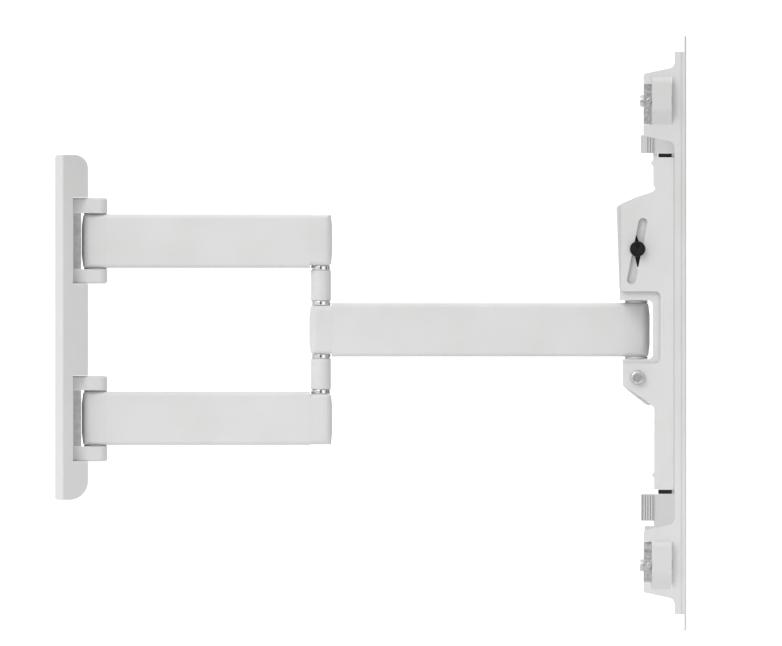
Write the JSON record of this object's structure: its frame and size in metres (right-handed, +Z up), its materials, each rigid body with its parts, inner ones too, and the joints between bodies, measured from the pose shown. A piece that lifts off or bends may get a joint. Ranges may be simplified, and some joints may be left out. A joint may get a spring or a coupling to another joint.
{
  "type": "full motion tv wall mount",
  "caption": "Full-motion television wall mount: covered wall plate, paired rear arms, elbow, front arm, swivel and tilt head, cross rails and sliding bolt-on brackets.",
  "frame": {"origin": "point of the wall face in the middle plane, level with the middle of the front arm", "axes": "+X out from the wall towards the television, +Y to the right seen from the room looking at the wall, +Z up; modelled at full reach with the screen upright"},
  "size_m": [0.4704, 0.435, 0.4438],
  "materials": {
    "white_steel": "satin white powder coat on steel",
    "pale_grey_steel": "pale grey powder coat on steel",
    "white_casting": "satin white powder coat on cast fittings",
    "white_plastic": "fine-textured white moulded plastic",
    "pale_grey_plastic": "fine-textured pale grey moulded plastic",
    "polished_chrome": "polished chrome plate",
    "zinc_steel": "bright zinc-plated steel",
    "black_steel": "black oxide steel",
    "grey_nylon": "mid-grey nylon",
    "black_nylon": "black nylon"
  },
  "bodies": {
    "wall": {"wall_plate": "white_steel", "wall_cover": "white_plastic", "clevis_upper": "white_steel", "clevis_lower": "white_steel", "clevis_pads": "grey_nylon", "clevis_screws": "zinc_steel", "wall_pin_upper": "zinc_steel", "wall_pin_lower": "zinc_steel", "wall_pin_nut_upper": "zinc_steel", "wall_pin_nut_lower": "zinc_steel", "wall_pin_caps": "white_plastic"},
    "rear_arms": {"upper_arm_tube": "white_steel", "upper_arm_wall_end": "white_casting", "upper_arm_elbow_end": "white_casting", "upper_arm_bushes": "grey_nylon", "lower_arm_tube": "white_steel", "lower_arm_wall_end": "white_casting", "lower_arm_elbow_end": "white_casting", "lower_arm_bushes": "grey_nylon", "lower_arm_cable_strip": "white_plastic", "elbow_shaft": "zinc_steel", "elbow_nut": "zinc_steel", "elbow_rings_upper": "polished_chrome", "elbow_rings_lower": "polished_chrome", "elbow_sleeve_upper": "white_casting", "elbow_sleeve_lower": "white_casting", "elbow_caps": "white_plastic"},
    "front_arm": {"front_arm_tube": "white_steel", "front_arm_elbow_end": "white_casting", "front_arm_head_end": "white_casting", "front_arm_elbow_bushes": "grey_nylon", "front_arm_head_bushes": "white_plastic", "front_arm_cable_strip": "white_plastic"},
    "head": {"head_yoke": "white_steel", "swivel_pin": "zinc_steel", "swivel_nut": "zinc_steel", "tilt_bolt_left": "zinc_steel", "tilt_bolt_right": "zinc_steel", "tilt_nut_left": "zinc_steel", "tilt_nut_right": "zinc_steel", "tilt_washers": "zinc_steel"},
    "tilt_frame": {"tilt_frame": "white_steel", "saddle_buffers": "black_nylon", "top_rail": "white_steel", "bottom_rail": "white_steel", "rail_caps_left": "pale_grey_plastic", "rail_caps_right": "pale_grey_plastic", "saddle_top": "pale_grey_steel", "saddle_bottom": "pale_grey_steel", "saddle_screws": "zinc_steel", "saddle_nuts": "zinc_steel"},
    "tilt_lock": {"lock_bolt": "black_steel", "lock_nut": "black_steel", "lock_washers": "black_nylon"},
    "bracket_left": {"vesa_bracket_left": "white_steel", "clamp_bolts_left": "zinc_steel", "clamp_plates_left": "zinc_steel"},
    "bracket_right": {"vesa_bracket_right": "white_steel", "clamp_bolts_right": "zinc_steel", "clamp_plates_right": "zinc_steel"}
  },
  "joints": [
    {"name": "wall_swivel", "type": "hinge", "parent": "wall", "child": "rear_arms", "pos_m": [0.03, 0, 0], "axis": [0, 0, 1], "range_deg": [-90, 90]},
    {"name": "elbow", "type": "hinge", "parent": "rear_arms", "child": "front_arm", "pos_m": [0.198, 0, 0], "axis": [0, 0, -1], "range_deg": [-160, 160]},
    {"name": "head_swivel", "type": "hinge", "parent": "front_arm", "child": "head", "pos_m": [0.433, 0, 0], "axis": [0, 0, 1], "range_deg": [-90, 90]},
    {"name": "tilt", "type": "hinge", "parent": "head", "child": "tilt_frame", "pos_m": [0.434, 0, -0.0356], "axis": [0, 1, 0], "range_deg": [-6, 6]},
    {"name": "lock_travel", "type": "slide", "parent": "tilt_frame", "child": "tilt_lock", "axis": [0.1994, 0, 0.9799], "range_m": [-0.0195, 0.0195]},
    {"name": "bracket_slide_left", "type": "slide", "parent": "tilt_frame", "child": "bracket_left", "axis": [0, 1, 0], "range_m": [0, 0.145]},
    {"name": "bracket_slide_right", "type": "slide", "parent": "tilt_frame", "child": "bracket_right", "axis": [0, -1, 0], "range_m": [0, 0.145]}
  ],
  "couplings": [
    {"joint": "lock_travel", "follows": "tilt", "m_per_rad": -0.181}
  ]
}
